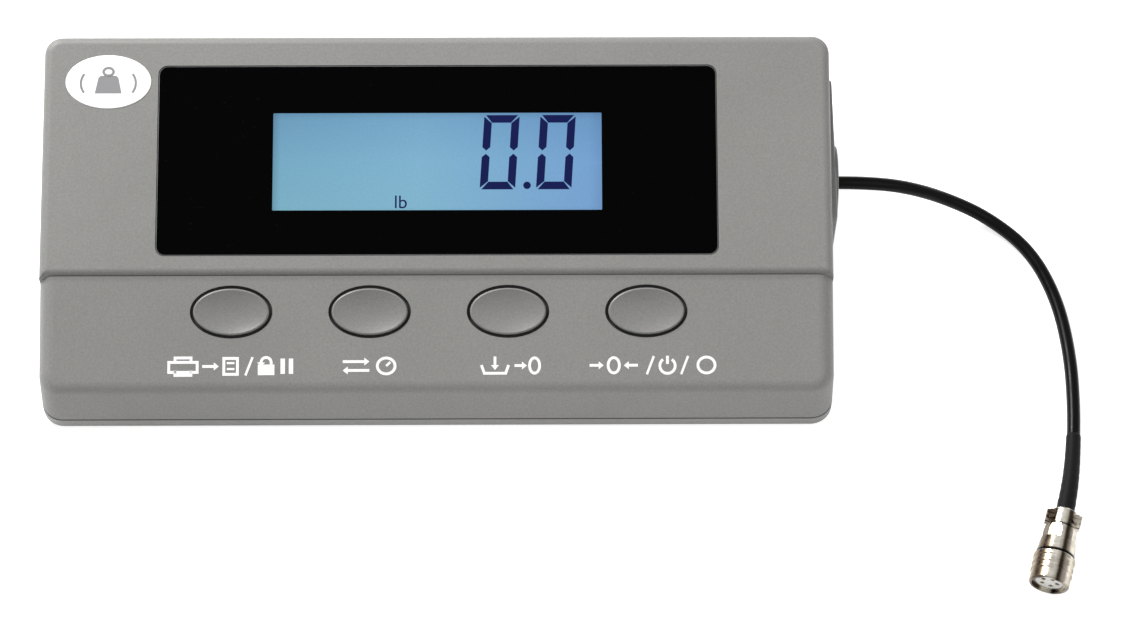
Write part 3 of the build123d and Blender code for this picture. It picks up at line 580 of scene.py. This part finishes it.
def lcd_material():
    """Lit blue panel: greener and brighter towards the middle, violet to the right, darker above."""
    s = Shader("lcd_lit", (0.004, 0.008, 0.012), 0.16, Specular_IOR_Level=0.1)
    separate = s.add("ShaderNodeSeparateXYZ")
    s.link(s.coords.outputs["Generated"], separate.inputs["Vector"])
    x, y = separate.outputs["X"], separate.outputs["Y"]
    top, middle, bottom = (
        s.ramp(x, [(0.0, seen(*left)), (0.45, seen(*centre)), (1.0, seen(*right))])
        for left, centre, right in (
            ((106, 152, 184), (114, 163, 197), (103, 146, 192)),
            ((116, 167, 193), (126, 177, 204), (116, 159, 207)),
            ((122, 174, 194), (128, 178, 203), (116, 157, 205))))
    lower = s.blend(s.ramp(y, [(0.0, 0.0), (0.5, 1.0)]), bottom, middle)
    panel = s.blend(s.ramp(y, [(0.5, 0.0), (1.0, 1.0)]), lower, top)
    cloud = s.ramp(s.noise(1400, 3), [(0.3, 0.955), (0.7, 1.03)])
    hairs = s.ramp(s.noise(500, 3, 0.6, (0.05, 1, 1)), [(0.66, 1.0), (0.74, 1.12)])
    sides = s.ramp(x, [(0.0, 0.72), (0.022, 1.0), (0.96, 1.0), (1.0, 0.86)])
    ends = s.ramp(y, [(0.0, 0.95), (0.04, 1.0), (0.93, 1.0), (1.0, 0.84)])
    glow = s.multiply(panel, cloud, hairs, sides, ends)
    s.link(glow, s.bsdf.inputs["Emission Color"])
    s.set("Emission Strength", 1.0)
    return s.material


def digit_bars(w, h, t, gap):
    """Outlines of the six bars of a nought: mitred at the corners, pointed at the waist."""
    x, y, g = w / 2, h / 2, gap / 2
    top = [(-x + 2 * g, y), (x - 2 * g, y), (x - t - 0.4 * g, y - t), (-x + t + 0.4 * g, y - t)]
    upright = [(x, y - 2 * g), (x, t * 0.45 + gap), (x - t / 2, gap), (x - t, t * 0.45 + gap),
               (x - t, y - t - 0.6 * g)]
    flips = ((1, 1), (-1, 1), (-1, -1), (1, -1))
    bars = [[(px, fy * py) for px, py in top] for fy in (1, -1)]
    bars += [[(fx * px, fy * py) for px, py in upright] for fx, fy in flips]
    return bars


def make_panel():
    """The lit panel seen through the window."""
    outline = rounded_outline(LCD_W, LCD_H, LCD_CORNER_R)
    panel = plate("lcd_panel", Matrix.Identity(4), outline, PANEL_T)
    panel.data.materials.append(lcd_material())
    panel.matrix_world = LCD_FACE @ Matrix.Translation((0, 0, PANEL_LIFT))
    return panel


def make_digits(face, ink):
    """Two seven-bar noughts with a decimal point between them."""
    pieces = []
    for x in DIGIT_XS:
        for bar in digit_bars(DIGIT_W, DIGIT_H, BAR_T, BAR_GAP):
            outline = [(x + px + py * SLANT, DIGIT_Y + py) for px, py in bar]
            pieces.append(plate("bar", face, outline, INK_T))
    pieces.append(plate("dot", face, ring(POINT_X, POINT_Y, POINT_R, POINT_R, 24), INK_T))
    digits = joined("lcd_digits", pieces)
    digits.data.materials.append(ink)
    return digits


def make_unit(face, ink):
    """The unit mark below the digits."""
    text = bpy.data.curves.new("lcd_unit", "FONT")
    text.body = "lb"
    text.size = UNIT_SIZE
    text.extrude = INK_T / 2
    unit = new_object("lcd_unit", text)
    unit.matrix_world = face @ Matrix.Translation((UNIT_X, UNIT_Y, INK_T / 2))
    unit.data.materials.append(ink)
    return unit


def make_display():
    """The panel, its digits and its unit mark, all in one slot."""
    panel = make_panel()
    ink = polished("lcd_ink", seen(17, 23, 66)[:3], 0.4, Specular_IOR_Level=0.03)
    face = LCD_FACE @ Matrix.Translation((0, 0, INK_LIFT))
    digits = make_digits(face, ink)
    unit = make_unit(face, ink)
    for piece in (panel, digits, unit):
        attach(piece, "root")


make_display()


# ---- printed marks ------------------------------------------------------------------------------
# Sizes and places in this section are in millimetres on the face.
MARK_T, MARK_LIFT = 0.02, 0.02
LINE, THIN_LINE, PAUSE_LINE = 0.95, 0.8, 1.5
MARK_V = -30.8
BADGE_LIFT = 0.45


def ribbon(points, width, closed=False):
    """Outline strip of even width along a path, as vertices and quads in a flat plane."""
    n = len(points)
    verts, faces = [], []
    for i in range(n):
        before = points[(i - 1) % n] if closed or i else None
        after = points[(i + 1) % n] if closed or i < n - 1 else None
        here = Vector(points[i])
        into = (here - Vector(before)).normalized() if before else None
        out = (Vector(after) - here).normalized() if after else None
        into, out = into or out, out or into
        along = (into + out).normalized()
        across = Vector((-along.y, along.x)) / max(along.dot(out), 0.35)
        for side in (1, -1):
            verts.append(here + across * side * width / 2)
    for i in range(n if closed else n - 1):
        j = (i + 1) % n
        faces.append((2 * i + 1, 2 * j + 1, 2 * j, 2 * i))
    return verts, faces


def arc(cx, cy, r, start, end, steps=24):
    angles = (radians(start + (end - start) * i / steps) for i in range(steps + 1))
    return [(cx + r * cos(a), cy + r * sin(a)) for a in angles]


def rectangle(cx, cy, w, h):
    x0, x1, y0, y1 = cx - w / 2, cx + w / 2, cy - h / 2, cy + h / 2
    return [(x0, y0), (x1, y0), (x1, y1), (x0, y1)]


class Print:
    """Flat print on a face: strokes and filled shapes gathered into one mesh, in millimetres."""

    def __init__(self, matrix):
        self.matrix = matrix
        self.verts, self.faces = [], []

    def _add(self, verts, faces):
        base = len(self.verts)
        for height in (MARK_LIFT, MARK_LIFT + MARK_T):
            self.verts += [self.matrix @ Vector((v[0] * MM, v[1] * MM, height * MM)) for v in verts]
        n = len(verts)
        edges = {}
        for face in faces:
            self.faces.append(tuple(base + n + i for i in face))
            self.faces.append(tuple(base + i for i in reversed(face)))
            for a, b in zip(face, face[1:] + face[:1]):
                edges[(a, b)] = True
        for a, b in edges:
            if (b, a) not in edges:
                self.faces.append((base + a, base + b, base + n + b, base + n + a))

    def stroke(self, points, closed=False, width=LINE):
        self._add(*ribbon(points, width, closed))

    def fill(self, points):
        self._add(points, [tuple(range(len(points)))])

    def arrow(self, tail, head, size=1.7, width=LINE):
        """Straight arrow with a solid head."""
        start, tip = Vector(tail), Vector(head)
        along = (tip - start).normalized()
        across = Vector((-along.y, along.x))
        neck = tip - along * size
        self.stroke([tuple(start), tuple(neck)], width=width)
        self.fill([tuple(tip), tuple(neck + across * size * 0.8), tuple(neck - across * size * 0.8)])

    def finish(self, name, material):
        obj = mesh_object(name, self.verts, self.faces, False)
        obj.data.materials.append(material)
        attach(obj, "root")
        return obj


def printer_sign(p, x):
    p.stroke(rectangle(x, -0.3, 9.6, 3.4), True)
    p.stroke([(x - 2.7, 1.8), (x - 2.7, 2.9), (x + 2.7, 2.9), (x + 2.7, 1.8)])
    p.stroke([(x - 2.7, -1.4), (x - 2.7, -3.0), (x + 2.7, -3.0), (x + 2.7, -1.4)])


def sheet_sign(p, x):
    p.stroke(rectangle(x, 0, 4.6, 5.4), True)
    for y in (1.1, -0.9):
        p.stroke([(x - 1.3, y), (x + 1.3, y)], width=0.7)


def lock_sign(p, x):
    p.fill(rectangle(x, -1.2, 5.6, 3.6))
    p.stroke([(x - 1.7, 0.4), (x - 1.7, 1.3)] + arc(x, 1.3, 1.7, 180, 0, 12) + [(x + 1.7, 0.4)])


def slash(p, x):
    p.stroke([(x - 1.2, -3.1), (x + 1.2, 3.1)], width=THIN_LINE)


def pause_sign(p, x):
    for dx in (-1.4, 1.4):
        p.stroke([(x + dx, -2.6), (x + dx, 2.6)], width=PAUSE_LINE)


def swap_sign(p, x, half):
    p.arrow((x - half, 1.5), (x + half, 1.5))
    p.arrow((x + half, -1.5), (x - half, -1.5))


def pan_sign(p, x):
    p.stroke([(x - 4.6, 0.2), (x - 3.6, -2.6), (x + 3.6, -2.6), (x + 4.6, 0.2)])
    p.arrow((x, 3.1), (x, -1.5))


def dial_sign(p, x):
    p.stroke(ring(x, 0, 3.0, 2.7), True)
    p.stroke([(x, 0), (x + 1.4, 1.3)], width=THIN_LINE)


def power_sign(p, x):
    p.stroke(arc(x, -0.2, 2.6, 125, 415, 30))
    p.stroke([(x, 0.4), (x, 3.2)])


def zero_sign(p, x):
    p.stroke(ring(x, 0, 1.9, 2.6), True)
    p.arrow((x - 8.2, 0), (x - 3.4, 0))
    p.arrow((x + 8.2, 0), (x + 3.4, 0))


def make_key_marks():
    """White signs under the keys: print and hold, change unit, tare, power and zero."""
    white = polished("mark_white", (0.78, 0.78, 0.76), 0.5)
    p = Print(KEY_FACE @ Matrix.Translation((0, MARK_V * MM, 0)))
    printer_sign(p, -85.7)
    p.arrow((-79.2, 0), (-73.6, 0))
    sheet_sign(p, -69.6)
    slash(p, -63.4)
    lock_sign(p, -57.6)
    pause_sign(p, -50.6)
    swap_sign(p, -27.2, 4.5)
    dial_sign(p, -17.0)
    pan_sign(p, 19.8)
    p.arrow((26.4, 0), (30.6, 0))
    p.stroke(ring(33.2, 0, 1.7, 2.6), True)
    zero_sign(p, 60.0)
    slash(p, 72.4)
    power_sign(p, 78.2)
    slash(p, 84.0)
    p.stroke(ring(91.4, 0, 2.9, 2.7), True)
    p.finish("key_marks", white)


def make_badge_mark():
    """Grey outline of a plain laboratory weight on the oval label."""
    grey = polished("mark_grey", (0.20, 0.20, 0.205), 0.4)
    p = Print(facet(middle_of("badge") + DISPLAY_UP * BADGE_LIFT * MM, DISPLAY_TILT))
    p.fill([(-4.6, -4.2), (4.6, -4.2), (3.4, 1.5), (2.6, 2.1), (-2.6, 2.1), (-3.4, 1.5)])
    p.stroke(ring(0, 3.5, 1.7, 1.35), True, 0.9)
    for x, middle in ((-4.0, 180), (4.0, 0)):
        p.stroke(arc(x, -0.6, 5.4, middle - 38, middle + 38), width=THIN_LINE)
    p.finish("badge_mark", grey)


make_key_marks()
make_badge_mark()


# ---- light, floor and world ---------------------------------------------------------------------
FLOOR_HALF, FLOOR_GLOW, WORLD_GLOW = 6, 0.62, 0.66


def area_light(name, location, aim, size, power):
    """Square soft light pointed at a place."""
    light = bpy.data.lights.new(name, "AREA")
    light.energy = power
    light.shape = "SQUARE"
    light.size = size
    obj = new_object(name, light)
    obj.location = location
    obj.rotation_euler = (Vector(aim) - Vector(location)).to_track_quat("-Z", "Y").to_euler()


def lit_floor():
    """Light table: it glows just enough to swallow most of the shadows."""
    s = Shader("floor_white", (0.8, 0.8, 0.8), 0.8, Emission_Color=(1, 1, 1, 1),
               Emission_Strength=FLOOR_GLOW)
    s.link(s.ramp(s.noise(3, 2), [(0.3, 0.75), (0.7, 0.85)]), s.bsdf.inputs["Roughness"])
    return s.material


def make_stage():
    """Seamless pale floor and soft light from above and the upper left."""
    h = FLOOR_HALF
    floor = mesh_object("floor", [(-h, -h, 0), (h, -h, 0), (h, h, 0), (-h, h, 0)], [(0, 1, 2, 3)], False)
    floor.data.materials.append(lit_floor())
    area_light("key_light", (-0.75, 0.85, 1.1), aim=(-0.05, 0.02, 0), size=0.55, power=36)
    area_light("fill_light", (0.9, -0.6, 1.4), aim=(0.03, -0.03, 0), size=1.2, power=4)
    world = bpy.data.worlds.new("studio")
    world.use_nodes = True
    sky = world.node_tree.nodes["Background"].inputs
    sky["Color"].default_value = (1, 1, 1, 1)
    sky["Strength"].default_value = WORLD_GLOW
    bpy.context.scene.world = world
    bpy.context.scene.view_settings.view_transform = "Standard"


make_stage()
